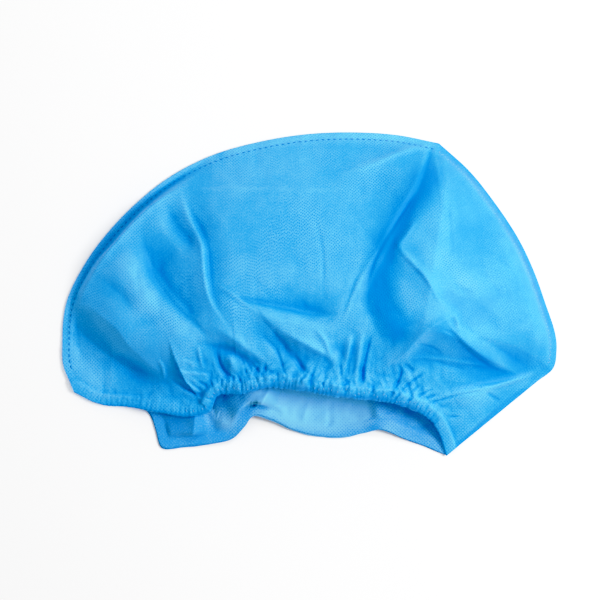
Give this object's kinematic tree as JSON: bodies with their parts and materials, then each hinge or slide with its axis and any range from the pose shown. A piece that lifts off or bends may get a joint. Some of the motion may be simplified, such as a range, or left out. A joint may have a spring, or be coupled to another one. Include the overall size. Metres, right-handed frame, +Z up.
{
  "type": "surgical cap",
  "caption": "Disposable bouffant-style surgical cap of thin bonded cloth, lying on its side with its gathered opening raised and the hollow for the head open.",
  "frame": {"origin": "middle of the cap's outline as it lies, on the floor under it", "axes": "+X runs along the opening from its left end to the turned back corner, +Y from the opening to the crown seam, +Z up from the floor"},
  "size_m": [0.3002, 0.1965, 0.048],
  "materials": {
    "side_cloth": "matt bonded cloth with a fine pressed dot pattern",
    "inner_cloth": "matt single layer of bonded cloth, paler inside",
    "hem_cloth": "gathered bonded cloth over elastic"
  },
  "bodies": {
    "root": {"near_side_panel": "side_cloth", "far_side_panel": "inner_cloth", "near_hem_casing": "hem_cloth", "far_hem_casing": "hem_cloth"}
  },
  "joints": []
}
